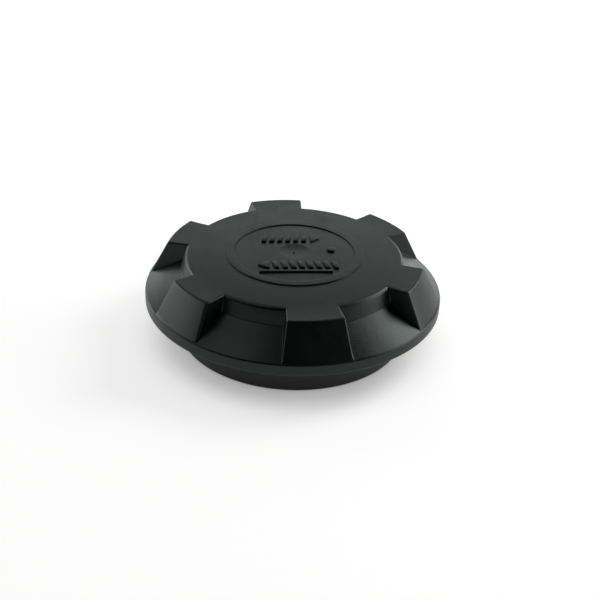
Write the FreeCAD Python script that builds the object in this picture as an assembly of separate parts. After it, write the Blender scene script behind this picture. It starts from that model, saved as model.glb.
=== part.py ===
import FreeCAD, Part
import math
import os

# Ratcheting, vented screw-on fuel cap. Millimetres, +Z up, origin on the floor under the collar's foot.
# The grip shell turns on the threaded closure; the valve sits in the middle of the closure.

# grip shell, outside
rim_radius = 50.0
rim_bottom = 13.1
rim_band = 3.9
rim_break = 0.4
pocket_reach = 12.5
disc_edge_room = 9.0
disc_edge_break = 0.9
crown_rise = 1.2
edge_break = 0.4
draft_deg = 7.0
pocket_wall_depth = 5.3
pocket_wall_lean_deg = 13.0
cove_round = 2.5

# grip lugs
lug_count = 6
lug_phase_deg = 40.25
lug_overhang = 6.0
lug_half_width = 8.6
lug_taper_deg = 6.6
lug_foot_setback = 0.25

# marks moulded in the crown
bead_inner_radius = 20.0
bead_width = 3.3
bead_height = 0.6
bead_lean = 0.5
dimple_radius = 5.0
dimple_depth = 0.35

# grip shell, inside
shell_wall = 2.4
snap_wall = 2.4
snap_wall_foot = 0.4
snap_groove_depth = 1.2
snap_lip = 0.7
thrust_rib_gap = 0.7
thrust_rib_width = 1.2
rim_rib_count = 12
rim_rib_width = 1.4
rim_rib_setback = 0.8

# threaded closure
flange_setback = 7.6
flange_width = 4.1
collar_wall = 3.0
collar_lead_in = 0.8
seal_pocket_height = 13.2
seal_pocket_step = 0.5
closure_ceiling = 17.6
closure_top_wall = 2.4
flange_thickness = 1.7

# neck thread, cut in short runs with gaps between them
thread_pitch = 4.0
thread_depth = 1.5
thread_crest_width = 1.2
thread_flank_deg = 25.0
thread_start = 3.2
thread_runs = 8
thread_runs_per_turn = 4
thread_gap_deg = 10.0

# ratchet teeth on the closure, pawls on the ring
tooth_count = 24
tooth_setback = 4.7
tooth_depth = 1.8
tooth_ring_wall = 1.5
tooth_head_room = 0.7
ratchet_ring_wall = 1.0
pawl_count = 6
pawl_inset = 0.5
pawl_thickness = 1.25
pawl_side_gap = 0.35
drive_tab_length = 3.5

# seals and filter
gasket_width = 7.4
gasket_thickness = 2.2
filter_foot_gap = 0.4

# valve housing
bore_radius = 11.0
housing_wall = 1.6
housing_floor = 1.4
housing_flange_radius = 14.2
housing_flange = 1.2
housing_head_room = 0.83
housing_lip = 0.3
housing_lip_height = 0.57
seat_setback = 3.0
seat_width = 0.8
seat_height = 0.8
window_count = 4
window_width = 4.0
window_height = 1.8
ring_groove_height = 1.6
ring_groove_depth = 0.85
stake_count = 4
stake_radius = 0.9
stake_head_radius = 1.5
stake_head_height = 0.7

# valves
seal_thickness = 1.2
seal_overlap = 1.6
head_overlap = 1.3
head_thickness = 1.2
plate_thickness = 1.4
stem_radius = 1.2
hub_wall = 0.8
hub_height = 1.4
port_count = 6
port_radius = 0.65
pressure_spring_height = 4.8
pressure_spring_wire = 0.7
pressure_spring_turns = 3.5
vacuum_spring_height = 3.0
vacuum_spring_wire = 0.4
vacuum_spring_turns = 3.5
clip_thickness = 0.5
clip_radius = 3.7
stem_tail = 0.8
retainer_thickness = 1.2
retainer_hole_count = 6
retainer_hole_radius = 1.1

# splash baffle
baffle_radius = 8.6
baffle_thickness = 1.0
baffle_drop = 1.4
baffle_leg_count = 3
baffle_leg_width = 2.0

# clearances
turning_gap = 0.3
slide_gap = 0.3
snap_gap = 0.2
seat_gap = 0.03
overcut = 1.0

# facets of small round posts, holes and wire
bar_sides = 12
wire_sides = 5
coil_steps = 14

# places worked out from the sizes above
closure_top = closure_ceiling + closure_top_wall
disc_edge_height = closure_top + disc_edge_room
disc_radius = rim_radius - pocket_reach
lug_reach = disc_radius + lug_overhang
flange_radius = rim_radius - flange_setback
collar_radius = flange_radius - flange_width
top_centre = disc_edge_height + crown_rise
crown_sphere = (disc_radius ** 2 + crown_rise ** 2) / (2 * crown_rise)
rim_top = rim_bottom + rim_band
wall_foot_height = disc_edge_height - pocket_wall_depth
draft = math.tan(math.radians(draft_deg))
lug_taper = math.tan(math.radians(lug_taper_deg))
wall_lean = math.tan(math.radians(pocket_wall_lean_deg))
wall_foot_radius = disc_radius + pocket_wall_depth * wall_lean
slope = (wall_foot_height - rim_top) / (rim_radius - wall_foot_radius)
rim_inner_radius = rim_radius - shell_wall
disc_inner_radius = disc_radius - shell_wall
ceiling_fall = crown_rise / disc_inner_radius
lug_foot_radius = rim_radius - lug_foot_setback
lug_front_lean = (lug_foot_radius - lug_reach) / (disc_edge_height - rim_top)
snap_inner_radius = flange_radius + turning_gap + seat_gap
groove_radius = snap_inner_radius + snap_groove_depth
groove_bottom = rim_bottom + snap_wall_foot + snap_lip

flange_bottom = closure_ceiling - flange_thickness
thread_root_radius = collar_radius - collar_wall
thread_crest_radius = thread_root_radius - thread_depth
seal_pocket_radius = thread_root_radius - seal_pocket_step
gasket_outer_radius = seal_pocket_radius - snap_gap
gasket_inner_radius = gasket_outer_radius - gasket_width

ratchet_ring_bottom = closure_top + turning_gap
ratchet_ring_top = disc_edge_height - shell_wall - turning_gap
tooth_base_radius = disc_inner_radius - tooth_setback
tooth_inner_radius = tooth_base_radius - tooth_ring_wall
tooth_top = ratchet_ring_top - tooth_head_room
thrust_rib_radius = tooth_inner_radius - thrust_rib_gap - thrust_rib_width

housing_radius = bore_radius - snap_gap
housing_inner_radius = housing_radius - housing_wall
housing_top = top_centre - shell_wall - ceiling_fall * housing_radius - housing_head_room
retainer_top = housing_top - housing_lip_height - seat_gap
retainer_bottom = retainer_top - retainer_thickness
plate_top = retainer_bottom - pressure_spring_height
plate_bottom = plate_top - plate_thickness
seat_top = plate_bottom - seal_thickness
floor_top = seat_top - seat_height
housing_foot = floor_top - housing_floor
plate_radius = housing_inner_radius - slide_gap
seat_radius = housing_inner_radius - seat_setback
seal_outer_radius = seat_radius + seat_width + seal_overlap
head_radius = seat_radius - 2 * slide_gap
seal_inner_radius = head_radius - head_overlap
clip_bottom = plate_top + vacuum_spring_height
stem_top = clip_bottom + clip_thickness + stem_tail


def corner_edges(corners):
    """Edges of a closed outline in the X-Z plane.

    A corner is (x, z), or (x, z, size) where it is broken flat, or (x, z, size, "round") with a radius.
    """
    points = [FreeCAD.Vector(c[0], 0, c[1]) for c in corners]
    starts, ends, bridges = [], [], []
    for i, corner in enumerate(corners):
        size = corner[2] if len(corner) > 2 else 0
        back = (points[i - 1] - points[i]).normalize()
        ahead = (points[(i + 1) % len(points)] - points[i]).normalize()
        half = back.getAngle(ahead) / 2
        rounded = len(corner) > 3
        reach = size / math.tan(half) if rounded else size
        starts.append(points[i] + back * reach)
        ends.append(points[i] + ahead * reach)
        if rounded:
            middle = points[i] + (back + ahead).normalize() * size * (1 / math.sin(half) - 1)
            bridges.append(Part.Arc(starts[i], middle, ends[i]))
        else:
            bridges.append(Part.LineSegment(starts[i], ends[i]) if size else None)
    edges = []
    for i, bridge in enumerate(bridges):
        if bridge:
            edges.append(bridge.toShape())
        edges.append(Part.LineSegment(ends[i], starts[(i + 1) % len(points)]).toShape())
    return edges


def turned(corners):
    """A solid of revolution about Z from an outline of (radius, height) corners."""
    face = Part.Face(Part.Wire(corner_edges(corners)))
    return face.revolve(FreeCAD.Vector(0, 0, 0), FreeCAD.Vector(0, 0, 1), 360)


def tube(inner, outer, bottom, top):
    """A plain ring with square edges."""
    ring = Part.makeCylinder(outer, top - bottom, FreeCAD.Vector(0, 0, bottom))
    if inner > 0:
        hole = Part.makeCylinder(inner, top - bottom + 2 * overcut, FreeCAD.Vector(0, 0, bottom - overcut))
        ring = ring.cut(hole)
    return ring


def turned_by(shape, angle_deg):
    """A copy turned about Z."""
    copy = shape.copy()
    copy.rotate(FreeCAD.Vector(0, 0, 0), FreeCAD.Vector(0, 0, 1), angle_deg)
    return copy


def around(shape, count, phase_deg=0.0):
    """Copies of a shape, evenly spaced about Z."""
    return [turned_by(shape, phase_deg + 360.0 * i / count) for i in range(count)]


def crowned(shape):
    """A shape trimmed under the crown's sphere."""
    return shape.common(Part.makeSphere(crown_sphere, FreeCAD.Vector(0, 0, top_centre - crown_sphere)))


def round_bar(radius, place, bottom, top):
    """An upright post, or the cut for a hole, at a distance from the axis; small ones get few facets."""
    points = []
    for i in range(bar_sides):
        angle = 2 * math.pi * (i + 0.5) / bar_sides
        points.append(FreeCAD.Vector(place + radius * math.cos(angle), radius * math.sin(angle), bottom))
    return Part.Face(Part.makePolygon(points + points[:1])).extrude(FreeCAD.Vector(0, 0, top - bottom))


def block(low, high):
    """A closed six-sided solid from two rings of four corners."""
    faces = [Part.Face(Part.makePolygon(ring + ring[:1])) for ring in (low, high)]
    for i in range(4):
        j = (i + 1) % 4
        faces.append(Part.Face(Part.makePolygon([low[i], low[j], high[j], high[i], low[i]])))
    return Part.makeSolid(Part.makeShell(faces))


def slope_height(radius):
    """Height of the pockets' sloping floor at a radius."""
    return rim_top + (rim_radius - radius) * slope


def slope_underside(radius):
    """Height of the same wall's underside."""
    return slope_height(radius) - shell_wall * math.hypot(1, slope)


def shell_ceiling(radius):
    """Height of the crown's underside, a shallow cone, at a radius."""
    return top_centre - shell_wall - ceiling_fall * radius


def lug_width_at(radius, height):
    """Half the width of a lug, which widens outward and downward."""
    outward = (radius - disc_radius) * lug_taper
    downward = (disc_edge_height - height) * draft
    return lug_half_width + outward + downward


def lug_front_at(height):
    """Radius of a lug's leaning front at a height."""
    return lug_reach + (disc_edge_height - height) * lug_front_lean


def lug_wedge(inner, top, bottom, inset):
    """The wedge between a lug's two side faces, moved in by an inset."""
    outer = rim_radius + overcut
    rings = []
    for height in (bottom, top):
        near = lug_width_at(inner, height) - inset
        far = lug_width_at(outer, height) - inset
        corners = [(inner, -near), (outer, -far), (outer, far), (inner, near)]
        rings.append([FreeCAD.Vector(x, y, height) for x, y in corners])
    return block(rings[0], rings[1])


def grip_lug():
    """One lug with its outer edges broken; its root is buried in the disc."""
    root = disc_radius - 3 * shell_wall
    profile = turned([
        (root, rim_bottom + rim_break),
        (root, disc_edge_height),
        (lug_reach, disc_edge_height),
        (lug_foot_radius, rim_top),
        (lug_foot_radius - shell_wall / 2, rim_bottom + rim_break),
    ])
    lug = lug_wedge(root, disc_edge_height + overcut, rim_bottom, 0).common(profile)
    return lug.makeChamfer(edge_break, lug_outer_edges(lug, root))


def lug_outer_edges(lug, root):
    """The two upright front edges and the three top edges of a lug."""
    found = []
    for edge in lug.Edges:
        middle = edge.valueAt((edge.FirstParameter + edge.LastParameter) / 2)
        on_top = abs(middle.z - disc_edge_height) < 0.01 and middle.x > root + 0.01
        front = abs(math.hypot(middle.x, middle.y) - lug_front_at(middle.z)) < 0.05
        upright = front and edge.BoundBox.ZLength > pocket_wall_depth
        if on_top or upright:
            found.append(edge)
    return found


def lug_hollow():
    """The space cored out of a lug from below."""
    top = disc_edge_height - shell_wall
    shift = shell_wall * math.hypot(1, lug_front_lean)
    reach = lug_front_at(top) - shift
    meet = disc_edge_height - (rim_inner_radius + shift - lug_reach) / lug_front_lean
    root = disc_inner_radius - shell_wall
    low = rim_bottom - overcut
    profile = turned([
        (root, low),
        (root, top),
        (reach, top, edge_break),
        (rim_inner_radius, meet),
        (rim_inner_radius, low),
    ])
    return lug_wedge(root, top + overcut, low, shell_wall).common(profile)


def crown_height(radius):
    """Height of the crown's surface at a radius."""
    return top_centre - crown_sphere + math.sqrt(crown_sphere ** 2 - radius ** 2)


def crown_bead():
    """The raised ring on the crown, a low rib with leaning sides."""
    inner = bead_inner_radius
    outer = bead_inner_radius + bead_width
    root = crown_height(outer) - shell_wall / 2
    return turned([
        (inner, root),
        (inner, crown_height(inner)),
        (inner + bead_lean, crown_height(inner) + bead_height),
        (outer - bead_lean, crown_height(outer) + bead_height),
        (outer, crown_height(outer)),
        (outer, root),
    ])


def gate_dimple():
    """The cut for a shallow dish in the middle of the crown, where the moulding gate is."""
    rim = crown_height(dimple_radius)
    return turned([
        (0, rim - dimple_depth),
        (0, rim + overcut),
        (dimple_radius, rim + overcut),
        (dimple_radius, rim),
    ])


def grip_shell():
    """Crown, lugs, pockets and rim outside; snap wall, thrust rib and rim ribs inside."""
    shell = turned([
        (0, rim_bottom),
        (0, top_centre + overcut),
        (disc_radius - (top_centre + overcut - disc_edge_height) * wall_lean, top_centre + overcut),
        (wall_foot_radius, wall_foot_height, cove_round, "round"),
        (rim_radius, rim_top, rim_break),
        (rim_radius, rim_bottom, rim_break),
    ])
    shell = crowned(shell)
    disc_edge = [e for e in shell.Edges if abs(e.BoundBox.Center.z - disc_edge_height) < 0.01]
    shell = shell.makeChamfer(disc_edge_break, disc_edge)
    shell = shell.fuse(around(grip_lug(), lug_count, lug_phase_deg) + [crown_bead()])
    shell = shell.cut(gate_dimple())

    hollow = turned([
        (0, rim_bottom - overcut),
        (0, top_centre - shell_wall),
        (disc_inner_radius, disc_edge_height - shell_wall),
        (disc_inner_radius, slope_underside(disc_inner_radius)),
        (rim_inner_radius, slope_underside(rim_inner_radius)),
        (rim_inner_radius, rim_bottom - overcut),
    ])
    shell = shell.cut(hollow)
    shell = shell.cut(around(lug_hollow(), lug_count, lug_phase_deg))
    return shell.fuse(shell_inner_walls()).removeSplitter()


def shell_inner_walls():
    """Snap wall with its groove, the thrust rib, and short ribs between the snap wall and the rim."""
    outer = snap_inner_radius + snap_wall
    foot = rim_bottom + snap_wall_foot
    ledge = groove_bottom + (flange_bottom - groove_bottom) - slide_gap
    buried = shell_wall / 2
    wall = turned([
        (snap_inner_radius, foot),
        (snap_inner_radius, groove_bottom),
        (groove_radius, groove_bottom),
        (groove_radius, ledge),
        (snap_inner_radius, ledge),
        (snap_inner_radius, slope_underside(snap_inner_radius) + buried),
        (outer, slope_underside(outer) + buried),
        (outer, foot),
    ])
    thrust_foot = closure_top + turning_gap
    thrust_top = disc_edge_height - shell_wall / 2
    thrust = tube(thrust_rib_radius, thrust_rib_radius + thrust_rib_width, thrust_foot, thrust_top)
    rib_bottom = rim_bottom + rim_rib_setback
    inner = outer - snap_wall / 4
    rib = Part.makeBox(rim_radius - inner, rim_rib_width, rim_band,
                       FreeCAD.Vector(inner, -rim_rib_width / 2, rib_bottom))
    room = turned([
        (inner, rib_bottom),
        (inner, slope_underside(inner) + buried),
        (rim_inner_radius + buried, slope_underside(rim_inner_radius + buried) + buried),
        (rim_inner_radius + buried, rib_bottom),
    ])
    phase = lug_phase_deg + 180.0 / rim_rib_count
    return [wall, thrust] + around(rib.common(room), rim_rib_count, phase)


def tooth_outline():
    """Saw teeth seen from above: a steep face, then a long ramp that a pawl rides up."""
    pitch = 360.0 / tooth_count
    tip = tooth_base_radius + tooth_depth
    points = []
    for i in range(tooth_count):
        angle = math.radians(lug_phase_deg + i * pitch)
        for radius in (tooth_base_radius, tip):
            points.append(FreeCAD.Vector(radius * math.cos(angle), radius * math.sin(angle), closure_top))
    return Part.Face(Part.makePolygon(points + points[:1]))


def ratchet_teeth():
    """The toothed wall that stands on the closure."""
    wall = tooth_outline().extrude(FreeCAD.Vector(0, 0, tooth_top - closure_top))
    return wall.cut(tube(0, tooth_inner_radius, closure_top - overcut, tooth_top + overcut))


def thread_run():
    """One short run of the neck thread, with a true round crest."""
    sweep_deg = 360.0 / thread_runs_per_turn - thread_gap_deg
    flank = math.tan(math.radians(thread_flank_deg))
    inner = thread_crest_radius - thread_depth / 5
    outer = thread_root_radius + thread_depth / 3
    half_inner = thread_crest_width / 2 - (thread_crest_radius - inner) * flank
    half_outer = thread_crest_width / 2 + (outer - thread_crest_radius) * flank
    corners = [(inner, -half_inner), (outer, -half_outer), (outer, half_outer), (inner, half_inner)]
    section = Part.makePolygon([FreeCAD.Vector(x, 0, z) for x, z in corners + corners[:1]])
    path = Part.makeHelix(thread_pitch, thread_pitch * sweep_deg / 360.0, thread_root_radius)
    ridge = Part.Wire(path.Edges).makePipeShell([section], True, True)
    band = tube(thread_crest_radius, thread_root_radius + thread_depth / 6, -thread_pitch, thread_pitch)
    return ridge.common(band)


def threaded_closure():
    """Collar, flange, ceiling and ratchet wall in one moulding."""
    top = closure_top
    cup = turned([
        (bore_radius, closure_ceiling),
        (bore_radius, top),
        (collar_radius, top),
        (collar_radius, closure_ceiling),
        (flange_radius, closure_ceiling),
        (flange_radius, flange_bottom),
        (collar_radius, flange_bottom),
        (collar_radius, 0, edge_break),
        (thread_root_radius + collar_lead_in, 0),
        (thread_root_radius, collar_lead_in),
        (thread_root_radius, seal_pocket_height),
        (seal_pocket_radius, seal_pocket_height),
        (seal_pocket_radius, closure_ceiling),
    ])
    run = thread_run()
    step_deg = 360.0 / thread_runs_per_turn
    thread = []
    for i in range(thread_runs):
        piece = turned_by(run, i * step_deg)
        piece.translate(FreeCAD.Vector(0, 0, thread_start + thread_pitch * i / thread_runs_per_turn))
        thread.append(piece)
    return cup.fuse([ratchet_teeth()] + stakes() + thread).removeSplitter()


def stakes():
    """Posts through the housing's flange, each with its head melted over."""
    place = (bore_radius + housing_flange_radius) / 2
    flange_top = closure_top + housing_flange
    head_top = flange_top + stake_head_height
    post_foot = closure_top - closure_top_wall / 2
    post = round_bar(stake_radius, place, post_foot, head_top - stake_head_height / 2)
    head = round_bar(stake_head_radius, place, flange_top, head_top)
    rim = [e for e in head.Edges if e.BoundBox.ZMin > head_top - 0.01]
    return around(post.fuse(head.makeChamfer(stake_head_height / 2, rim)), stake_count)


def ratchet_ring():
    """Ring with six springy pawls inside and six drive tabs that reach into the lugs."""
    outer = disc_inner_radius - turning_gap
    inner = outer - ratchet_ring_wall
    bottom = ratchet_ring_bottom
    top = ratchet_ring_top
    ring = tube(inner, outer, bottom, top)
    half = lug_width_at(disc_inner_radius, top) - shell_wall - slide_gap
    middle = outer - ratchet_ring_wall / 2
    length = disc_inner_radius + drive_tab_length - middle
    tab = Part.makeBox(length, 2 * half, top - bottom, FreeCAD.Vector(middle, -half, bottom))
    tab = tab.cut(tube(0, middle, bottom - overcut, top + overcut))
    ring = ring.fuse(around(tab, lug_count, lug_phase_deg))
    return ring.fuse(around(pawl(middle), pawl_count, lug_phase_deg)).removeSplitter()


def pawl(ring_middle):
    """An arm that leaves the ring, follows a tooth's ramp and ends against its steep face."""
    pitch = 360.0 / tooth_count
    tip = tooth_base_radius + tooth_depth
    nose_angle = -math.degrees(pawl_side_gap / tooth_base_radius)
    nose_inner = tooth_base_radius + pawl_side_gap
    outline = [
        (ring_middle, -1.5 * pitch),
        (tip + 2 * pawl_side_gap, -1.25 * pitch),
        (tip + pawl_side_gap, -pitch),
        (nose_inner, nose_angle),
        (nose_inner + pawl_thickness, nose_angle),
        (tip + pawl_side_gap + 0.6 * pawl_thickness, -0.85 * pitch),
        (ring_middle, -1.1 * pitch),
    ]
    bottom = ratchet_ring_bottom + pawl_inset
    height = ratchet_ring_top - pawl_inset - bottom
    points = []
    for radius, angle_deg in outline:
        angle = math.radians(angle_deg)
        points.append(FreeCAD.Vector(radius * math.cos(angle), radius * math.sin(angle), bottom))
    return Part.Face(Part.makePolygon(points + points[:1])).extrude(FreeCAD.Vector(0, 0, height))


def retaining_ring():
    """Split ring in the shell's groove, under the closure's flange."""
    bottom = groove_bottom
    top = flange_bottom - slide_gap - seat_gap
    inner = collar_radius + turning_gap
    outer = groove_radius - snap_gap
    ring = turned([
        (inner, bottom),
        (inner, top),
        (outer, top),
        (outer, bottom),
    ])
    split = 2 * snap_wall
    gap = Part.makeBox(outer, split, top - bottom + 2 * overcut,
                       FreeCAD.Vector(0, -split / 2, bottom - overcut))
    return ring.cut(turned_by(gap, lug_phase_deg + 180.0 / lug_count))


def neck_gasket():
    """Flat rubber ring against the closure's ceiling."""
    bottom = closure_ceiling - gasket_thickness
    return tube(gasket_inner_radius, gasket_outer_radius, bottom, closure_ceiling)


def dust_filter():
    """Foam ring between the valve housing and the thrust rib."""
    inner = housing_flange_radius + filter_foot_gap
    outer = thrust_rib_radius - filter_foot_gap
    return tube(inner, outer, closure_top, shell_ceiling(outer) - turning_gap)


def valve_housing():
    """Tube with a flange, a floor with the raised valve seat, windows and a snap lip."""
    flange_top = closure_top + housing_flange
    groove_middle = (closure_ceiling + closure_top) / 2
    groove_low = groove_middle - ring_groove_height / 2
    groove_high = groove_middle + ring_groove_height / 2
    housing = turned([
        (seat_radius, housing_foot),
        (seat_radius, seat_top),
        (seat_radius + seat_width, seat_top),
        (seat_radius + seat_width, floor_top),
        (housing_inner_radius, floor_top),
        (housing_inner_radius, retainer_top + seat_gap),
        (housing_inner_radius - housing_lip, housing_top),
        (housing_radius, housing_top),
        (housing_radius, flange_top),
        (housing_flange_radius, flange_top),
        (housing_flange_radius, closure_top),
        (housing_radius, closure_top),
        (housing_radius, groove_high),
        (housing_radius - ring_groove_depth, groove_high),
        (housing_radius - ring_groove_depth, groove_low),
        (housing_radius, groove_low),
        (housing_radius, housing_foot),
    ])
    place = (bore_radius + housing_flange_radius) / 2
    hole = round_bar(stake_radius + seat_gap, place, closure_top - overcut, flange_top + overcut)
    window_low = flange_top + window_height / 2
    window = Part.makeBox(housing_wall + 2 * overcut, window_width, window_height,
                          FreeCAD.Vector(housing_inner_radius - overcut, -window_width / 2, window_low))
    holes = around(hole, stake_count)
    windows = around(window, window_count, 180.0 / window_count)
    return housing.cut(holes + windows)


def housing_seal():
    """Rubber ring squeezed between the groove and the closure's bore."""
    middle = (closure_ceiling + closure_top) / 2
    half = ring_groove_height / 2 - seat_gap
    inner = housing_radius - ring_groove_depth + seat_gap
    outer = bore_radius - seat_gap
    return tube(inner, outer, middle - half, middle + half)


def pressure_plate():
    """Plate of the outward valve, with a guide hub and ports to the inward one."""
    hub_inner = stem_radius + slide_gap
    hub_outer = hub_inner + hub_wall
    plate = turned([
        (hub_inner, plate_bottom),
        (hub_inner, plate_top + hub_height),
        (hub_outer, plate_top + hub_height),
        (hub_outer, plate_top),
        (plate_radius, plate_top),
        (plate_radius, plate_bottom),
    ])
    place = (hub_outer + seal_inner_radius) / 2
    port = round_bar(port_radius, place, plate_bottom - overcut, plate_top + overcut)
    return plate.cut(around(port, port_count))


def pressure_seal():
    """Flat rubber washer: its outer part meets the seat, its inner part the vacuum valve's head."""
    return tube(seal_inner_radius, seal_outer_radius, seat_top, plate_bottom)


def coil(mean_radius, wire, bottom, height, turns):
    """A compression spring, lofted through sections of its wire."""
    steps = round(turns * coil_steps)
    sections = []
    for i in range(steps + 1):
        angle = 2 * math.pi * turns * i / steps
        middle = bottom + wire / 2 + (height - wire) * i / steps
        ring = []
        for k in range(wire_sides):
            turn = 2 * math.pi * (k + 0.5) / wire_sides
            radius = mean_radius + wire / 2 * math.sin(turn)
            lift = wire / 2 * math.cos(turn)
            ring.append(FreeCAD.Vector(radius * math.cos(angle), radius * math.sin(angle), middle + lift))
        sections.append(Part.makePolygon(ring + ring[:1]))
    return Part.makeLoft(sections, True, True)


def pressure_spring():
    """Spring between the pressure plate and the retainer."""
    mean = plate_radius - pressure_spring_wire - slide_gap
    return coil(mean, pressure_spring_wire, plate_top, pressure_spring_height, pressure_spring_turns)


def vacuum_spring():
    """Small spring round the hub, under the stem's clip."""
    mean = stem_radius + slide_gap + hub_wall + vacuum_spring_wire + slide_gap
    return coil(mean, vacuum_spring_wire, plate_top, vacuum_spring_height, vacuum_spring_turns)


def vacuum_valve():
    """Poppet: a flat head under the seal and a stem up through the hub."""
    bottom = seat_top - head_thickness
    return turned([
        (0, bottom),
        (0, stem_top),
        (stem_radius, stem_top),
        (stem_radius, seat_top),
        (head_radius, seat_top),
        (head_radius, bottom),
    ])


def stem_clip():
    """Push-on clip near the top of the stem."""
    return tube(stem_radius + seat_gap, clip_radius, clip_bottom, clip_bottom + clip_thickness)


def spring_retainer():
    """Perforated disc under the housing's snap lip."""
    outer = housing_inner_radius - seat_gap
    inner = clip_radius + slide_gap
    disc = tube(inner, outer, retainer_bottom, retainer_top)
    place = (inner + outer) / 2
    hole = round_bar(retainer_hole_radius, place, retainer_bottom - overcut, retainer_top + overcut)
    return disc.cut(around(hole, retainer_hole_count))


def splash_baffle():
    """Disc hung on three legs under the housing's floor."""
    top = housing_foot - baffle_drop
    disc = turned([
        (0, top - baffle_thickness),
        (0, top),
        (baffle_radius, top),
        (baffle_radius, top - baffle_thickness),
    ])
    inner = baffle_radius - baffle_leg_width
    leg = Part.makeBox(baffle_leg_width, baffle_leg_width, baffle_drop + baffle_thickness / 2,
                       FreeCAD.Vector(inner - edge_break, -baffle_leg_width / 2, top - baffle_thickness / 2))
    return disc.fuse(around(leg, baffle_leg_count)).removeSplitter()


nodes = {
    "grip_shell": grip_shell,
    "ratchet_ring": ratchet_ring,
    "retaining_ring": retaining_ring,
    "threaded_closure": threaded_closure,
    "neck_gasket": neck_gasket,
    "dust_filter": dust_filter,
    "valve_housing": valve_housing,
    "housing_seal": housing_seal,
    "pressure_plate": pressure_plate,
    "pressure_seal": pressure_seal,
    "pressure_spring": pressure_spring,
    "spring_retainer": spring_retainer,
    "vacuum_valve": vacuum_valve,
    "vacuum_spring": vacuum_spring,
    "stem_clip": stem_clip,
    "splash_baffle": splash_baffle,
}

os.makedirs("parts", exist_ok=True)
for name, make in nodes.items():
    shape = make()
    shape.exportStep(f"parts/{name}.step")
    print(name, len(shape.Solids), shape.isValid(), round(shape.Volume, 1), round(shape.BoundBox.ZMin, 2),
          round(shape.BoundBox.ZMax, 2))
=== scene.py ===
import bmesh
import bpy
import math
from mathutils import Euler, Matrix, Vector


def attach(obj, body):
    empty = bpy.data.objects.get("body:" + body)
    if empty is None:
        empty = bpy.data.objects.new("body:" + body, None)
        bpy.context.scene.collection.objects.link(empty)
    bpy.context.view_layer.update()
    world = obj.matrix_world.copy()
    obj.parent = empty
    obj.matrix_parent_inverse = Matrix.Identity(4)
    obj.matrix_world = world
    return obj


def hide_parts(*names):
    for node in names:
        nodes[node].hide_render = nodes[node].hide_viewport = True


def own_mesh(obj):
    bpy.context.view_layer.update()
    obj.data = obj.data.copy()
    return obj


# Fuel cap: a lugged grip shell over a threaded closure, standing on its collar.
# Lengths in the dictionaries are millimetres, angles are degrees.

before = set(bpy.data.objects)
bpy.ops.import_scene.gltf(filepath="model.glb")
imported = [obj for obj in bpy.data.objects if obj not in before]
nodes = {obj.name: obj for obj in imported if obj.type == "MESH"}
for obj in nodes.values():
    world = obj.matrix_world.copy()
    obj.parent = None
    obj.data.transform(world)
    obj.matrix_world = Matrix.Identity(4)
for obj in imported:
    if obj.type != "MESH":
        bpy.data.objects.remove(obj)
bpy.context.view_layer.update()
print("frame loaded:", len(nodes), "nodes")

mm = 0.001  # metres in a millimetre
white = (1.0, 1.0, 1.0, 1.0)


# camera, found by fitting the rim, lugs and collar to the photograph

cameraValues = {
    "place": (0.14, -365.33, 221.11),
    "turn": (1.049806, -0.037802, 0.015075),  # radians
    "lens": 73.72, "sensor": 36.0, "nearest": 10.0,
}

cameraData = bpy.data.cameras.new("photoCamera")
cameraData.lens = cameraValues["lens"]
cameraData.sensor_width = cameraValues["sensor"]
cameraData.clip_start = cameraValues["nearest"] * mm
camera = bpy.data.objects.new("photoCamera", cameraData)
camera.location = Vector(cameraValues["place"]) * mm
camera.rotation_euler = Euler(cameraValues["turn"])
bpy.context.scene.collection.objects.link(camera)
bpy.context.scene.camera = camera


# helpers for meshes and node trees

def ringPoint(radius, angle, height):
    turn = math.radians(angle)
    return Vector((radius * math.cos(turn), radius * math.sin(turn), height)) * mm


def gridKey(point, steps):
    # a point's place on a grid with this many steps to the metre
    return tuple(round(value * steps) for value in point)


def meshFromFaces(name, faces):
    # faces are lists of points; corners at the same place are welded
    mesh = bpy.data.meshes.new(name)
    bm = bmesh.new()
    known = {}
    for face in faces:
        corners = []
        for point in face:
            key = gridKey(point, 1e7)
            if key not in known:
                known[key] = bm.verts.new(point)
            if known[key] not in corners:
                corners.append(known[key])
        if len(corners) > 2:
            bm.faces.new(corners)
    bmesh.ops.remove_doubles(bm, verts=bm.verts, dist=1e-6)
    bmesh.ops.recalc_face_normals(bm, faces=bm.faces)
    bm.to_mesh(mesh)
    bm.free()
    return mesh


def addObject(name, mesh):
    piece = bpy.data.objects.new(name, mesh)
    bpy.context.scene.collection.objects.link(piece)
    return piece


def bake(piece):
    # turns live modifiers into a plain mesh
    evaluated = piece.evaluated_get(bpy.context.evaluated_depsgraph_get())
    mesh = bpy.data.meshes.new_from_object(evaluated)
    piece.modifiers.clear()
    piece.data = mesh


def feed(tree, node, links):
    # links maps an input's name or index to a value, or to (node, output name)
    for key, value in links.items():
        if isinstance(value, tuple) and isinstance(value[0], bpy.types.Node):
            tree.links.new(value[0].outputs[value[1]], node.inputs[key])
        else:
            node.inputs[key].default_value = value


def addNode(tree, kind, links=None, **settings):
    node = tree.nodes.new(kind)
    for key, value in settings.items():
        setattr(node, key, value)
    feed(tree, node, links or {})
    return node


def groupInputs(tree, sockets):
    # adds inputs by name and kind, and gives the identifiers that a modifier sets them by
    found = {}
    for name, kind in sockets.items():
        socket = tree.interface.new_socket(name=name, in_out="INPUT", socket_type="NodeSocket" + kind)
        found[name] = socket.identifier
    return found


def handOut(tree, given, geometry):
    # gives the geometry its material and passes it out of the group
    paint = addNode(tree, "GeometryNodeSetMaterial", {"Geometry": geometry, "Material": (given, "Finish")})
    addNode(tree, "NodeGroupOutput", {"Geometry": (paint, "Geometry")})


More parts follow.
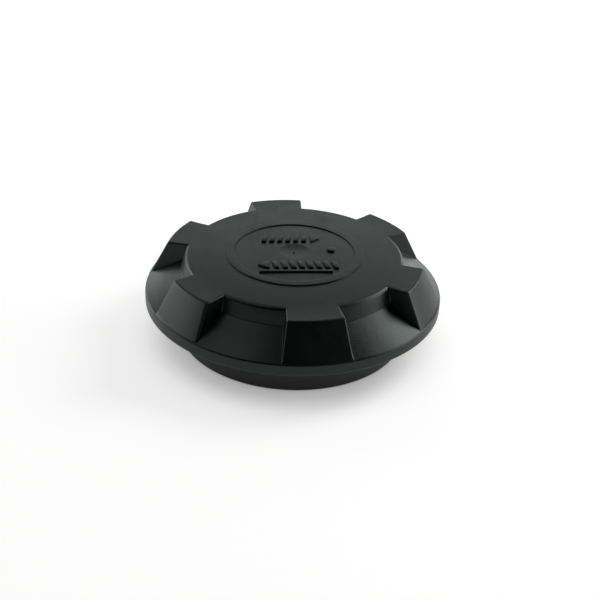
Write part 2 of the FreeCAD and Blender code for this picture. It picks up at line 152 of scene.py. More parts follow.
def runGroup(piece, group, sockets, values):
    # puts the node group on a piece with these values and bakes the result
    modifier = piece.modifiers.new(group.name, "NODES")
    modifier.node_group = group
    for name, value in values.items():
        modifier[sockets[name]] = value
    bake(piece)


def hexColour(code):
    # sRGB hex to linear, with alpha
    parts = [int(code[i:i + 2], 16) / 255 for i in (1, 3, 5)]
    return tuple(p / 12.92 if p <= 0.04045 else ((p + 0.055) / 1.055) ** 2.4 for p in parts) + (1.0,)


def perMm(size):
    # texture scale whose features are about this many millimetres across
    return 1000.0 / size


# materials

noiseValues = {  # detail and roughness of each noise
    "flowMark": (3.0, 0.6), "speck": (4.0, 0.7), "rub": (5.0, 0.65), "grain": (2.0, 0.55),
    "ripple": (1.0, 0.5), "bloom": (5.0, 0.65), "peel": (2.0, 0.5), "dieLine": (3.0, 0.6),
    "stain": (4.0, 0.6),
}
plasticValues = {
    "tonePlaces": (0.12, 0.42), "rubStretch": 0.16, "rubTurn": 28.0, "rubRange": (0.56, 0.74),
    "flowRange": (0.3, 0.7), "unevenness": 0.035,
}


def newMaterial(name):
    material = bpy.data.materials.new(name)
    material.use_nodes = True
    tree = material.node_tree
    tree.nodes.clear()
    shader = addNode(tree, "ShaderNodeBsdfPrincipled")
    addNode(tree, "ShaderNodeOutputMaterial", {"Surface": (shader, "BSDF")})
    place = addNode(tree, "ShaderNodeTexCoord")
    return material, tree, shader, place


def noise(tree, kind, place, values):
    # one of the noises above, its features values[kind] across
    detail, roughness = noiseValues[kind]
    return addNode(tree, "ShaderNodeTexNoise", {
        "Vector": place, "Scale": perMm(values[kind]), "Detail": detail, "Roughness": roughness})


def toneRamp(tree, factor, places, colours):
    ramp = addNode(tree, "ShaderNodeValToRGB", {"Fac": factor})
    for element, place, colour in zip(ramp.color_ramp.elements, places, colours):
        element.position = place
        element.color = hexColour(colour)
    return ramp


def mapRange(tree, value, source, target, **settings):
    return addNode(tree, "ShaderNodeMapRange", {
        "Value": value, "From Min": source[0], "From Max": source[1],
        "To Min": target[0], "To Max": target[1]}, **settings)


def relief(tree, height, depth, strength=1.0, below=None, **settings):
    # a bump this deep, on top of the one below where there is one
    links = {"Height": height, "Strength": strength, "Distance": depth * mm}
    if below:
        links["Normal"] = (below, "Normal")
    return addNode(tree, "ShaderNodeBump", links, **settings)


def mouldedPlastic(name, values):
    # injection-moulded thermoplastic: a satin skin, a fine spark-eroded grain, cloudy flow marks, some rubs
    pv = plasticValues
    material, tree, shader, place = newMaterial(name)
    cloud = noise(tree, "flowMark", (place, "Object"), values)
    speck = noise(tree, "speck", (place, "Object"), values)
    mixed = addNode(tree, "ShaderNodeMath", {0: (cloud, "Fac"), 1: (speck, "Fac")}, operation="MULTIPLY")
    tone = toneRamp(tree, (mixed, "Value"), pv["tonePlaces"], (values["dark"], values["light"]))
    # rubs: long thin patches where the grain is polished or scratched
    stretch = addNode(tree, "ShaderNodeMapping", {
        "Vector": (place, "Object"), "Scale": (1.0, pv["rubStretch"], 1.0),
        "Rotation": (0.0, 0.0, math.radians(pv["rubTurn"]))})
    rub = noise(tree, "rub", (stretch, "Vector"), values)
    rubbed = mapRange(tree, (rub, "Fac"), pv["rubRange"], (0.0, values["rubRoughness"]))
    least, most = values["roughness"] - pv["unevenness"], values["roughness"] + pv["unevenness"]
    uneven = mapRange(tree, (cloud, "Fac"), pv["flowRange"], (least, most))
    rough = addNode(tree, "ShaderNodeMath", {0: (uneven, "Result"), 1: (rubbed, "Result")}, operation="ADD")
    # the real grain is finer than a pixel, so it is drawn a few times coarser
    grain = noise(tree, "grain", (place, "Object"), values)
    ripple = noise(tree, "ripple", (place, "Object"), values)
    sink = relief(tree, (ripple, "Fac"), values["rippleHeight"])
    bump = relief(tree, (grain, "Fac"), values["grainHeight"], below=sink)
    feed(tree, shader, {
        "Base Color": (tone, "Color"), "Roughness": (rough, "Value"), "Normal": (bump, "Normal"),
        "IOR": values["ior"], "Specular Tint": values["tint"]})
    return material


def mouldedRubber(name, values):
    # compression-moulded nitrile: matt black with a dusty bloom and a slight orange peel
    material, tree, shader, place = newMaterial(name)
    bloom = noise(tree, "bloom", (place, "Object"), values)
    tone = toneRamp(tree, (bloom, "Fac"), values["tonePlaces"], (values["dark"], values["light"]))
    peel = noise(tree, "peel", (place, "Object"), values)
    bump = relief(tree, (peel, "Fac"), values["peelHeight"], strength=values["peelStrength"])
    feed(tree, shader, {
        "Base Color": (tone, "Color"), "Normal": (bump, "Normal"),
        "Roughness": values["roughness"], "IOR": values["ior"]})
    return material


def openCellFoam(name, values):
    # polyurethane filter foam: a web of round cells, pale on the struts, with painted shade in the holes
    material, tree, shader, place = newMaterial(name)
    cells = addNode(tree, "ShaderNodeTexVoronoi", {
        "Vector": (place, "Object"), "Scale": perMm(values["cell"])}, feature="DISTANCE_TO_EDGE")
    # the ramp runs from the struts' own grey to the painted shade of the holes
    tone = toneRamp(tree, (cells, "Distance"), values["tonePlaces"], (values["strut"], values["hole"]))
    bump = relief(tree, (cells, "Distance"), values["cellDepth"], invert=True)
    feed(tree, shader, {
        "Base Color": (tone, "Color"), "Normal": (bump, "Normal"), "Roughness": values["roughness"]})
    return material


def drawnSteel(name, values):
    # cold-drawn stainless wire and strip: bright metal with faint die lines and a little staining
    material, tree, shader, place = newMaterial(name)
    lines = addNode(tree, "ShaderNodeMapping", {
        "Vector": (place, "Object"), "Scale": (1.0, 1.0, values["lineStretch"])})
    die = noise(tree, "dieLine", (lines, "Vector"), values)
    stain = noise(tree, "stain", (place, "Object"), values)
    tone = toneRamp(tree, (stain, "Fac"), values["tonePlaces"], (values["light"], values["dark"]))
    rough = mapRange(tree, (die, "Fac"), values["lineRange"], values["roughness"])
    bump = relief(tree, (die, "Fac"), values["lineDepth"], strength=values["lineStrength"])
    feed(tree, shader, {
        "Base Color": (tone, "Color"), "Roughness": (rough, "Result"), "Normal": (bump, "Normal"),
        "Metallic": 1.0})
    return material


# black glass-filled nylon: the outer cover, satin, with a painted cool tint in its reflections that stands
# in for cool light
blackNylon = mouldedPlastic("blackNylonMoulded", {
    "dark": "#060908", "light": "#0f1413", "flowMark": 14.0, "speck": 0.7, "rub": 9.0, "rubRoughness": 0.08,
    "roughness": 0.36, "grain": 0.5, "grainHeight": 0.042, "ripple": 7.0, "rippleHeight": 0.05,
    # the tint below is painted: the colour of cool light put into the cover's reflections
    "ior": 1.46, "tint": (0.86, 1.0, 0.94, 1.0),
})
# black polyethylene: the closure, softer and waxier than the cover
blackPolyethylene = mouldedPlastic("blackPolyethyleneMoulded", {
    "dark": "#1e2020", "light": "#2c2e2d", "flowMark": 10.0, "speck": 0.6, "rub": 6.0, "rubRoughness": 0.06,
    "roughness": 0.42, "grain": 0.4, "grainHeight": 0.01, "ripple": 5.0, "rippleHeight": 0.02,
    "ior": 1.51, "tint": white,
})
# natural acetal: the valve's parts, milky white with a soft sheen
naturalAcetal = mouldedPlastic("naturalAcetalMoulded", {
    "dark": "#cfcdc2", "light": "#dcdad0", "flowMark": 6.0, "speck": 0.5, "rub": 3.0, "rubRoughness": 0.08,
    "roughness": 0.33, "grain": 0.3, "grainHeight": 0.006, "ripple": 3.0, "rippleHeight": 0.012,
    "ior": 1.48, "tint": white,
})
# cool white acetal: the ratchet ring and the split ring, a little glossier so that the pawls slide
whiteAcetal = mouldedPlastic("whiteAcetalMoulded", {
    "dark": "#d8d8d4", "light": "#e4e4e0", "flowMark": 8.0, "speck": 0.5, "rub": 4.0, "rubRoughness": 0.1,
    "roughness": 0.28, "grain": 0.3, "grainHeight": 0.005, "ripple": 4.0, "rippleHeight": 0.012,
    "ior": 1.48, "tint": white,
})
nitrileRubber = mouldedRubber("nitrileRubberMoulded", {
    "dark": "#141414", "light": "#262625", "tonePlaces": (0.42, 0.72), "bloom": 4.0, "peel": 0.35,
    "peelHeight": 0.02, "peelStrength": 0.8, "roughness": 0.68, "ior": 1.52,
})
filterFoam = openCellFoam("openCellPolyurethane", {
    "strut": "#4b4b4d", "hole": "#141415", "tonePlaces": (0.08, 0.3), "cell": 0.9, "cellDepth": 0.27,
    "roughness": 0.9,
})
springSteel = drawnSteel("drawnStainlessSteel", {
    "light": "#c4c3c0", "dark": "#8f8b84", "tonePlaces": (0.35, 0.75), "stain": 2.5, "dieLine": 0.25,
    "lineStretch": 14.0, "lineRange": (0.3, 0.7), "lineDepth": 0.01, "lineStrength": 0.5,
    "roughness": (0.2, 0.36),
})
print("materials made")


# grip shell: one sector with its lug, repeated round the axis by Geometry Nodes

shellValues = {
    "discRadius": 37.5, "edgeRadius": 36.5, "edgeHeight": 29.0, "crownRise": 1.35, "crownPower": 2.5,
    "crownEase": 33.0, "beadInner": 20.2, "beadOuter": 23.1, "beadHeight": 0.34, "beadSide": 0.1,
    "dimpleRadius": 5.2, "dimpleDepth": 0.45, "nubRadius": 0.7, "nubHeight": 0.25,
    "crownRows": [0.2, 0.4, 0.55, 0.7, 0.8, 1.2, 2.0, 3.0, 3.9, 4.6, 4.95, 5.15, 5.25, 5.5, 7, 9.5, 12,
                  14.5, 17, 19, 19.8, 20.2, 20.21, 20.23, 20.26, 20.3, 21.0, 21.7, 22.4, 23.0, 23.04,
                  23.07, 23.09, 23.1, 23.5, 25, 27.5, 30, 32.5, 34.6, 36.5],
    "lugCount": 6, "lugPhase": 40.25, "lugReach": 43.5, "lugHalfWidth": 8.6, "lugTaper": 6.6, "draft": 7.0,
    "lugFootRadius": 49.5, "lugRows": (38.0, 39.5, 41.0, 42.4), "lugSteps": 6,
    "wallFootHeight": 23.7, "wallLean": 15.5, "coveRadius": 0.4,
    "wallSteps": 2, "coveSteps": 10, "slopeSteps": 6,
    "rimRadius": 50.0, "rimTop": 17.0, "rimMiddle": 14.9, "rimBottom": 13.1, "rimRound": 0.8, "rimSteps": 6,
    "rimLowRound": 0.5, "rimLowSteps": 4, "rimChamfer": 0.3,
    "wall": 2.4, "snapInner": 42.73, "snapOuter": 45.13, "snapFoot": 13.5, "grooveRadius": 43.93,
    "grooveLow": 14.2, "grooveHigh": 15.6, "ceiling": [(20.0, 27.1), (5.0, 27.6)],
    "ribWidth": 1.4, "ribSetback": 0.8, "ribAngle": 15.0, "ribOverlap": 0.4, "ribOuterTop": 15.8,
    "ribInnerTop": 17.2,
    "edgeRound": 0.5, "discEdgeRound": 0.9, "innerRound": 0.25, "roundSteps": 4, "sharpAngle": 38.0,
    "lugColumns": 8, "pocketColumns": 10,
}
sv = shellValues
lugTaper = math.tan(math.radians(sv["lugTaper"]))
wallDraft = math.tan(math.radians(sv["draft"]))
wallLean = math.tan(math.radians(sv["wallLean"]))
wallFootRadius = sv["edgeRadius"] + (sv["edgeHeight"] - sv["wallFootHeight"]) * wallLean
pocketSlope = (sv["wallFootHeight"] - sv["rimTop"]) / (sv["rimRadius"] - wallFootRadius)


def slopeHeight(radius):
    return sv["rimTop"] + (sv["rimRadius"] - radius) * pocketSlope


def insideHeight(radius):
    # the slope's inner face, one wall below it
    return slopeHeight(radius) - sv["wall"] * math.hypot(1, pocketSlope)


def topHeight(radius):
    # crown, easing into the flat tops of the lugs, with the bead and the gate's dimple on it
    ease, reach, power = sv["crownEase"], sv["lugReach"], sv["crownPower"]
    if radius < ease:
        height = sv["crownRise"] * (1 - (radius / sv["discRadius"]) ** power)
    else:
        t = (radius - ease) / (reach - ease)
        start = sv["crownRise"] * (1 - (ease / sv["discRadius"]) ** power)
        fall = -power * sv["crownRise"] / ease * (ease / sv["discRadius"]) ** power * (reach - ease)
        height = start * (2 * t ** 3 - 3 * t ** 2 + 1) + fall * (t ** 3 - 2 * t ** 2 + t)
    if sv["beadInner"] < radius < sv["beadOuter"]:
        side = min(radius - sv["beadInner"], sv["beadOuter"] - radius) / sv["beadSide"]
        height += sv["beadHeight"] * (1 - (1 - min(side, 1.0)) ** 4)
    if radius < sv["dimpleRadius"]:
        height -= sv["dimpleDepth"] * (1 - (radius / sv["dimpleRadius"]) ** 2)
    if radius < sv["nubRadius"]:
        height += sv["nubHeight"] * (1 - (radius / sv["nubRadius"]) ** 3)
    return sv["edgeHeight"] + height


def sideAngle(radius, height):
    # where a lug's leaning side plane cuts a circle
    offset = sv["lugHalfWidth"] - sv["discRadius"] * lugTaper + (sv["edgeHeight"] - height) * wallDraft
    return math.degrees(math.atan(lugTaper) + math.asin(offset / (radius * math.hypot(1, lugTaper))))


def arcThrough(before, corner, after, radius, steps):
    # points of a round that replaces a corner of a profile
    corner = Vector(corner)
    back = (Vector(before) - corner).normalized()
    ahead = (Vector(after) - corner).normalized()
    half = back.angle(ahead) / 2
    middle = corner + (back + ahead).normalized() * radius / math.sin(half)
    start = corner + back * radius / math.tan(half) - middle
    end = corner + ahead * radius / math.tan(half) - middle
    sweep = start.angle_signed(end)
    turned = []
    for i in range(steps + 1):
        angle = -sweep * i / steps
        turned.append((middle.x + start.x * math.cos(angle) - start.y * math.sin(angle),
                       middle.y + start.x * math.sin(angle) + start.y * math.cos(angle)))
    return turned


def lerp(a, b, t):
    return tuple(p + (q - p) * t for p, q in zip(a, b))


def pocketProfile():
    # from the disc's edge down the wall, round the cove and out along the slope
    top = (sv["edgeRadius"], topHeight(sv["edgeRadius"]))
    foot = (wallFootRadius, sv["wallFootHeight"])
    end = (sv["lugFootRadius"], slopeHeight(sv["lugFootRadius"]))
    cove = arcThrough(top, foot, end, sv["coveRadius"], sv["coveSteps"])
    wall = [lerp(top, cove[0], i / sv["wallSteps"]) for i in range(sv["wallSteps"])]
    slope = [lerp(cove[-1], end, (i + 1) / sv["slopeSteps"]) for i in range(sv["slopeSteps"])]
    return wall + cove + slope


def rimProfile():
    # from the slope's end over the rim, under it and up inside
    start = (sv["lugFootRadius"], slopeHeight(sv["lugFootRadius"]))
    top, low = (sv["rimRadius"], sv["rimTop"]), (sv["rimRadius"], sv["rimBottom"])
    inner = sv["rimRadius"] - sv["wall"]
    disc = sv["discRadius"] - sv["wall"]
    points = [start] + arcThrough(start, top, low, sv["rimRound"], sv["rimSteps"])
    points += [(sv["rimRadius"], sv["rimMiddle"])]
    points += arcThrough(top, low, (inner, low[1]), sv["rimLowRound"], sv["rimLowSteps"])
    points += [(inner + sv["rimChamfer"], low[1]), (inner, low[1] + sv["rimChamfer"])]
    points += [(inner, insideHeight(inner)), (sv["snapOuter"], insideHeight(sv["snapOuter"]))]
    points += [(sv["snapOuter"], sv["snapFoot"]), (sv["snapInner"], sv["snapFoot"])]
    points += [(sv["snapInner"], sv["grooveLow"]), (sv["grooveRadius"], sv["grooveLow"])]
    points += [(sv["grooveRadius"], sv["grooveHigh"]), (sv["snapInner"], sv["grooveHigh"])]
    points += [(sv["snapInner"], insideHeight(sv["snapInner"])), (disc, insideHeight(disc))]
    points += [(disc, sv["edgeHeight"] - sv["wall"])]
    return points + sv["ceiling"]


def halfSector():
    # faces of half a sector, from the middle of a lug to the middle of a pocket, and its edges to round
    lug, pocket = sv["lugColumns"], sv["pocketColumns"]
    faces = []

    def columns(radius, height):
        side = sideAngle(radius, height)
        half = 180 / sv["lugCount"]
        onLug = [side * i / lug for i in range(lug)]
        return onLug + [side + (half - side) * i / pocket for i in range(pocket + 1)]

    def row(radius, height):
        return [ringPoint(radius, a, height) for a in columns(radius, height)]

    def grid(rows, first, last):
        for near, far in zip(rows, rows[1:]):
            for i in range(first, last):
                faces.append([near[i], far[i], far[i + 1], near[i + 1]])

    discColumns = columns(sv["edgeRadius"], topHeight(sv["edgeRadius"]))
    crown = [[ringPoint(r, a, topHeight(r)) for a in discColumns] for r in sv["crownRows"]]
    pole = ringPoint(0, 0, topHeight(0))
    for i in range(lug + pocket):
        faces.append([pole, crown[0][i], crown[0][i + 1]])
    grid(crown, 0, lug + pocket)

    lugTop = [row(r, topHeight(r)) for r in (sv["edgeRadius"], *sv["lugRows"], sv["lugReach"])]
    grid(lugTop, 0, lug)

    lugEdge = (sv["lugReach"], sv["edgeHeight"])
    lugFoot = (sv["lugFootRadius"], slopeHeight(sv["lugFootRadius"]))
    lugFront = [row(*lerp(lugEdge, lugFoot, i / sv["lugSteps"])) for i in range(sv["lugSteps"] + 1)]
    grid(lugFront, 0, lug)

    pocketRows = [row(radius, height) for radius, height in pocketProfile()]
    grid(pocketRows, lug, lug + pocket)
    side = [line[lug] for line in lugTop] + [line[lug] for line in lugFront[1:]]
    bottom = [line[lug] for line in pocketRows]
    faces.append(side + bottom[-2:0:-1])

    rimColumns = columns(*lugFoot)
    rim = [[ringPoint(r, a, z) for a in rimColumns] for r, z in rimProfile()]
    grid(rim, 0, lug + pocket)
    ceiling = ringPoint(0, 0, sv["edgeHeight"] + sv["crownRise"] - sv["wall"])
    for i in range(lug + pocket):
        faces.append([rim[-1][i], ceiling, rim[-1][i + 1]])

    edges = [
        (side, sv["edgeRound"]), (lugTop[-1][:lug + 1], sv["edgeRound"]),
        (crown[-1][lug:], sv["discEdgeRound"]), (bottom, sv["innerRound"]),
        (lugFront[-1][:lug + 1], sv["edgeRound"]),
    ]
    return faces, edges


def ribFaces(angle):
    # a short radial rib between the snap wall and the rim
    bottom = sv["rimBottom"] + sv["ribSetback"]
    inner, outer = sv["snapOuter"] - sv["ribOverlap"], sv["rimRadius"] - sv["wall"] + sv["ribOverlap"]
    outline = ((inner, bottom), (outer, bottom), (outer, sv["ribOuterTop"]), (inner, sv["ribInnerTop"]))
    turn = math.radians(angle)
    corners = []
    for across in (-sv["ribWidth"] / 2, sv["ribWidth"] / 2):
        for radius, height in outline:
            corners.append(Vector((radius * math.cos(turn) - across * math.sin(turn),
                                   radius * math.sin(turn) + across * math.cos(turn), height)) * mm)
    a, b = corners[:4], corners[4:]
    return [a[::-1], b] + [[a[i], a[(i + 1) % 4], b[(i + 1) % 4], b[i]] for i in range(4)]


def mirrored(points):
    return [Vector((p.x, -p.y, p.z)) for p in points]


def sectorMesh():
    faces, edges = halfSector()
    faces += [mirrored(face)[::-1] for face in faces]
    edges += [(mirrored(line), size) for line, size in edges]
    faces += ribFaces(sv["ribAngle"]) + ribFaces(-sv["ribAngle"])
    mesh = meshFromFaces("shellSector", faces)
    places = {gridKey(v.co, 1e6): v.index for v in mesh.vertices}
    pairs = {}
    for line, size in edges:
        found = [places.get(gridKey(p, 1e6)) for p in line]
        for a, b in zip(found, found[1:]):
            pairs[frozenset((a, b))] = size
    weights = mesh.attributes.new("bevel_weight_edge", "FLOAT", "EDGE")
    marked = 0
    for edge in mesh.edges:
        size = pairs.get(frozenset(edge.vertices))
        if size:
            weights.data[edge.index].value = size
            marked += 1
    print("sector:", len(mesh.polygons), "faces,", marked, "edges to round")
    return mesh


def repeatTree():
    # copies of the incoming mesh, evenly turned about the axis and welded
    tree = bpy.data.node_groups.new("repeatRoundAxis", "GeometryNodeTree")
    sockets = groupInputs(tree, {
        "Sector": "Geometry", "Count": "Int", "Phase": "Float", "Finish": "Material"})
    tree.interface.new_socket(name="Geometry", in_out="OUTPUT", socket_type="NodeSocketGeometry")
    given = addNode(tree, "NodeGroupInput")
    points = addNode(tree, "GeometryNodePoints", {"Count": (given, "Count")})
    index = addNode(tree, "GeometryNodeInputIndex")
    share = addNode(tree, "ShaderNodeMath", {0: (index, "Index"), 1: (given, "Count")}, operation="DIVIDE")
    turn = addNode(tree, "ShaderNodeMath", {0: (share, "Value"), 1: 2 * math.pi, 2: (given, "Phase")},
                   operation="MULTIPLY_ADD")
    axis = addNode(tree, "ShaderNodeCombineXYZ", {"Z": (turn, "Value")})
    rotation = addNode(tree, "FunctionNodeEulerToRotation", {"Euler": (axis, "Vector")})
    copies = addNode(tree, "GeometryNodeInstanceOnPoints", {
        "Points": (points, "Points"), "Instance": (given, "Sector"), "Rotation": (rotation, "Rotation")})
    real = addNode(tree, "GeometryNodeRealizeInstances", {"Geometry": (copies, "Instances")})
    weld = addNode(tree, "GeometryNodeMergeByDistance", {"Geometry": (real, "Geometry"), "Distance": 2e-6})
    handOut(tree, given, (weld, "Geometry"))
    return tree, sockets


repeatRound, repeatSockets = repeatTree()
gripShell = addObject("gripShell", sectorMesh())
runGroup(gripShell, repeatRound, repeatSockets, {
    "Count": sv["lugCount"], "Phase": math.radians(sv["lugPhase"]), "Finish": blackNylon})

bevel = gripShell.modifiers.new("mouldRounds", "BEVEL")
bevel.limit_method = "WEIGHT"
bevel.offset_type = "OFFSET"
bevel.width = mm  # an edge's weight is its round in millimetres
bevel.segments = sv["roundSteps"]
bevel.use_clamp_overlap = False
bake(gripShell)
gripShell.data.set_sharp_from_angle(angle=math.radians(sv["sharpAngle"]))
weighted = gripShell.modifiers.new("evenNormals", "WEIGHTED_NORMAL")
weighted.keep_sharp = True
bake(gripShell)
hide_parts("grip_shell")
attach(gripShell, "shell")
print("grip shell:", len(gripShell.data.polygons), "faces")


# raised marks in the panel: two dashed turning arrows, a bar and an index dot

markValues = {
    "tilt": 5.0, "rise": 0.6, "sunk": 0.3, "lean": 0.8, "headSpread": 1.1,
    "round": 0.1, "roundSteps": 2, "roundAngle": 50.0, "sharpAngle": 40.0,
    "upper": {"x": 0.2, "y": 9.2, "dashes": 6, "pitch": 2.7, "width": 1.6, "height": 4.8, "head": 3.4,
              "way": 1},
    "lower": {"x": -0.4, "y": -9.6, "dashes": 8, "pitch": 2.8, "width": 1.6, "height": 4.8, "head": 3.8,
              "way": -1},
    "bar": {"x": -0.4, "y": -13.9, "width": 24.0, "height": 1.1},
    "dot": {"x": 12.4, "y": 0.9, "radius": 1.5, "step": 24},
}


def prism(outline):
    # a closed upright block from an outline in the crown's plane, its top following the crown
    low, high = [], []
    for x, y in outline:
        surface = topHeight(math.hypot(x, y))
        low.append(Vector((x, y, surface - markValues["sunk"])) * mm)
        high.append(Vector((x, y, surface + markValues["rise"])) * mm)
    sides = []
    for i in range(len(outline)):
        j = (i + 1) % len(outline)
        sides.append([low[i], low[j], high[j], high[i]])
    return [low[::-1], high] + sides


def slab(x, y, half, tall, lean=0.0):
    # a four-cornered outline, its ends shifted sideways by the lean
    ways = ((-1, -1), (1, -1), (1, 1), (-1, 1))
    return [(x + sx * half + sy * lean / 2, y + sy * tall) for sx, sy in ways]


def markOutlines():
    outlines = []
    for row in (markValues["upper"], markValues["lower"]):
        way, half, tall = row["way"], row["width"] / 2, row["height"] / 2
        first = -(row["dashes"] * row["pitch"] + row["head"]) / 2
        for i in range(row["dashes"]):
            x = row["x"] + way * (first + i * row["pitch"])
            outlines.append(slab(x, row["y"], half, tall, way * markValues["lean"]))
        tip = row["x"] + way * (first + row["dashes"] * row["pitch"] - half)
        spread = tall * markValues["headSpread"]
        point = (tip + way * row["head"], row["y"])
        outlines.append([(tip, row["y"] - spread), point, (tip, row["y"] + spread)])
    bar, dot = markValues["bar"], markValues["dot"]
    outlines.append(slab(bar["x"], bar["y"], bar["width"] / 2, bar["height"] / 2))
    angles = [math.radians(a) for a in range(0, 360, dot["step"])]
    outlines.append([(dot["x"] + dot["radius"] * math.cos(a), dot["y"] + dot["radius"] * math.sin(a))
                     for a in angles])
    turn = math.radians(markValues["tilt"])
    sine, cosine = math.sin(turn), math.cos(turn)
    return [[(x * cosine - y * sine, x * sine + y * cosine) for x, y in outline] for outline in outlines]


markFaces = [face for outline in markOutlines() for face in prism(outline)]
crownMarks = addObject("crownMarks", meshFromFaces("crownMarks", markFaces))
bevel = crownMarks.modifiers.new("markRounds", "BEVEL")
bevel.width = markValues["round"] * mm
bevel.segments = markValues["roundSteps"]
bevel.limit_method = "ANGLE"
bevel.angle_limit = math.radians(markValues["roundAngle"])
bake(crownMarks)
crownMarks.data.shade_smooth()
crownMarks.data.set_sharp_from_angle(angle=math.radians(markValues["sharpAngle"]))
crownMarks.data.materials.append(blackNylon)
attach(crownMarks, "shell")
print("crown marks:", len(crownMarks.data.polygons), "faces")


# valve springs: round wire wound by Geometry Nodes

springValues = {
    "pressureSpring": {
        "node": "pressure_spring", "radius": 7.88, "wire": 0.7, "foot": 20.02, "height": 4.76, "turns": 3.5,
        "body": "closure", "joint": "pressure_lift", "held": 24.8, "keep": 0.6875,
    },
    "vacuumSpring": {
        "node": "vacuum_spring", "radius": 3.0, "wire": 0.4, "foot": 20.02, "height": 2.96, "turns": 3.5,
        "body": "pressure_valve", "joint": "vacuum_drop", "held": 20.0, "keep": 0.6,
    },
}
wireValues = {"turnSteps": 48, "roundSteps": 16, "sharpAngle": 40.0}


def springTree():
    # a helix of round wire that rises from its first turn
    tree = bpy.data.node_groups.new("woundSpring", "GeometryNodeTree")
    sockets = groupInputs(tree, {
        "Turns": "Float", "Radius": "Float", "Rise": "Float", "Wire Radius": "Float", "Finish": "Material"})
    tree.interface.new_socket(name="Geometry", in_out="OUTPUT", socket_type="NodeSocketGeometry")
    given = addNode(tree, "NodeGroupInput")
    helix = addNode(tree, "GeometryNodeCurveSpiral", {
        "Resolution": wireValues["turnSteps"], "Rotations": (given, "Turns"), "Height": (given, "Rise"),
        "Start Radius": (given, "Radius"), "End Radius": (given, "Radius")})
    section = addNode(tree, "GeometryNodeCurvePrimitiveCircle", {
        "Resolution": wireValues["roundSteps"], "Radius": (given, "Wire Radius")})
    wire = addNode(tree, "GeometryNodeCurveToMesh", {
        "Curve": (helix, "Curve"), "Profile Curve": (section, "Curve"), "Fill Caps": True})
    real = addNode(tree, "GeometryNodeRealizeInstances", {"Geometry": (wire, "Mesh")})
    handOut(tree, given, (real, "Geometry"))
    return tree, sockets


woundSpring, springSockets = springTree()
for name, values in springValues.items():
    spring = addObject(name, bpy.data.meshes.new(name))
    runGroup(spring, woundSpring, springSockets, {
        "Turns": values["turns"], "Radius": values["radius"] * mm,
        "Rise": (values["height"] - values["wire"]) * mm, "Wire Radius": values["wire"] / 2 * mm,
        "Finish": springSteel})
    spring.data.transform(Matrix.Translation((0, 0, (values["foot"] + values["wire"] / 2) * mm)))
    spring.data.shade_smooth()
    spring.data.set_sharp_from_angle(angle=math.radians(wireValues["sharpAngle"]))
    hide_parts(values["node"])
    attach(spring, values["body"])
    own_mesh(spring)
    print(name + ":", len(spring.data.polygons), "faces")


# finishes of the nodes that keep their CAD shape

finishes = {
    "threaded_closure": blackPolyethylene, "retaining_ring": whiteAcetal, "ratchet_ring": whiteAcetal,
    "neck_gasket": nitrileRubber, "housing_seal": nitrileRubber, "pressure_seal": nitrileRubber,
    "dust_filter": filterFoam, "valve_housing": naturalAcetal, "pressure_plate": naturalAcetal,
    "spring_retainer": naturalAcetal, "vacuum_valve": naturalAcetal, "splash_baffle": naturalAcetal,
    "stem_clip": springSteel,
}
for name, finish in finishes.items():
    for slot in nodes[name].material_slots:
        slot.material = finish
print("finishes set:", len(finishes), "nodes")


# floor, world and lamps: a white table in a half circle of soft round lamps, dark on the camera's side

stageValues = {
    "floorSize": 3000.0, "floorColour": "#cdcecc", "floorRoughness": 0.9, "floorSpecular": 0.1,
    "floorGlow": 0.7, "floorMirrored": 0.45,
    # reach, depth and samples of the painted contact shadow that darkens the floor's glow
    "paintedShadowReach": 15.0, "paintedShadowDepth": 1.0, "paintedShadowSamples": 16,
    "worldFront": 0.01, "worldBack": 0.2, "worldBelow": 0.9, "worldBand": (-0.35, 0.6),
    "lampDistance": 700.0, "lampSize": 360.0, "lampAim": 15.0,
}

floorMesh = bpy.data.meshes.new("floor")
half = stageValues["floorSize"] / 2 * mm
floorCorners = [(-half, -half, 0), (half, -half, 0), (half, half, 0), (-half, half, 0)]
floorMesh.from_pydata(floorCorners, [], [(0, 1, 2, 3)])
floor = addObject("floor", floorMesh)
paper, tree, shader, place = newMaterial("whitePaper")  # matt card, bright to the camera and in reflections
ray = addNode(tree, "ShaderNodeLightPath")
direct = addNode(tree, "ShaderNodeMath", {
    0: (ray, "Is Camera Ray"), 1: stageValues["floorGlow"]}, operation="MULTIPLY")
mirror = addNode(tree, "ShaderNodeMath", {
    0: (ray, "Is Glossy Ray"), 1: (ray, "Is Transmission Ray")}, operation="MAXIMUM")
glow = addNode(tree, "ShaderNodeMath", {
    0: (mirror, "Value"), 1: stageValues["floorMirrored"], 2: (direct, "Value")}, operation="MULTIPLY_ADD")
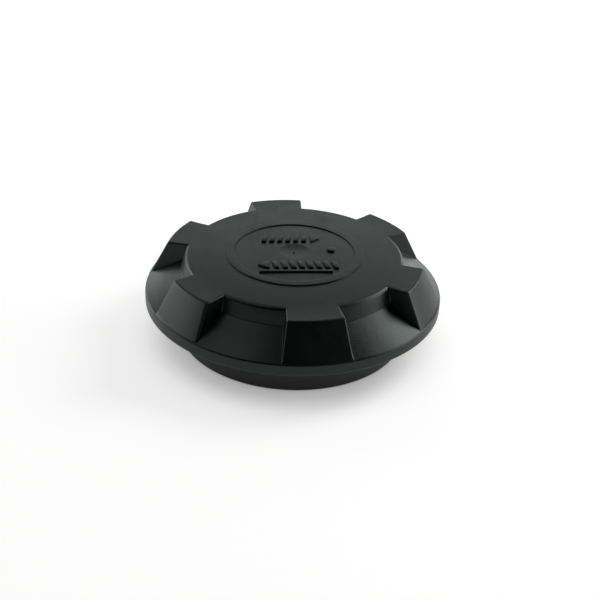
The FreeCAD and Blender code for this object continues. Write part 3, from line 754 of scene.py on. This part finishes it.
# the glow is darkened by ambient occlusion under and beside the cap: a painted contact shadow on the floor
paintedShadowOcclusion = addNode(tree, "ShaderNodeAmbientOcclusion", {
    "Distance": stageValues["paintedShadowReach"] * mm}, samples=stageValues["paintedShadowSamples"])
paintedShadowFade = addNode(tree, "ShaderNodeMath", {
    0: (paintedShadowOcclusion, "AO"), 1: stageValues["paintedShadowDepth"]}, operation="POWER")
glowWithPaintedShadow = addNode(tree, "ShaderNodeMath", {0: (glow, "Value"), 1: (paintedShadowFade, "Value")}, operation="MULTIPLY")
feed(tree, shader, {
    "Base Color": hexColour(stageValues["floorColour"]), "Roughness": stageValues["floorRoughness"],
    "Specular IOR Level": stageValues["floorSpecular"], "Emission Color": white,
    "Emission Strength": (glowWithPaintedShadow, "Value")})
floorMesh.materials.append(paper)

world = bpy.data.worlds.new("studio")
bpy.context.scene.world = world
world.use_nodes = True
tree = world.node_tree
tree.nodes.clear()
place = addNode(tree, "ShaderNodeTexCoord")
split = addNode(tree, "ShaderNodeSeparateXYZ", {"Vector": (place, "Generated")})
depth = mapRange(tree, (split, "Y"), stageValues["worldBand"],
                 (stageValues["worldFront"], stageValues["worldBack"]), interpolation_type="SMOOTHSTEP")
below = addNode(tree, "ShaderNodeMath", {0: (split, "Z"), 1: 0.0}, operation="LESS_THAN")
strength = addNode(tree, "ShaderNodeMix", {
    "Factor": (below, "Value"), "A": (depth, "Result"), "B": stageValues["worldBelow"]})
light = addNode(tree, "ShaderNodeBackground", {"Color": white, "Strength": (strength, "Result")})
addNode(tree, "ShaderNodeOutputWorld", {"Surface": (light, "Background")})

lampValues = {  # turn about the axis, lift above the floor, power in watts
    "right": {"turn": 0, "lift": 12, "power": 1.6},
    "rightHigh": {"turn": 30, "lift": 38, "power": 1.85},
    "backRight": {"turn": 60, "lift": 12, "power": 0.62},
    "back": {"turn": 90, "lift": 25, "power": 0.2},
    "backLeft": {"turn": 120, "lift": 12, "power": 0.43},
    "leftBack": {"turn": 150, "lift": 12, "power": 0.98},
    "left": {"turn": 180, "lift": 12, "power": 0.55},
    "leftHigh": {"turn": 180, "lift": 65, "power": 0.27},
}
middle = Vector((0, 0, stageValues["lampAim"])) * mm
for name, values in lampValues.items():
    data = bpy.data.lights.new(name + "Softbox", "AREA")
    data.shape = "DISK"
    data.size = stageValues["lampSize"] * mm
    data.energy = values["power"]
    lamp = bpy.data.objects.new(name + "Softbox", data)
    reach, lift = stageValues["lampDistance"], math.radians(values["lift"])
    lamp.location = middle + ringPoint(reach * math.cos(lift), values["turn"], reach * math.sin(lift))
    lamp.rotation_euler = (middle - lamp.location).to_track_quat("-Z", "Y").to_euler()
    bpy.context.scene.collection.objects.link(lamp)

bpy.context.scene.view_settings.view_transform = "Standard"
print("stage and lamps set")
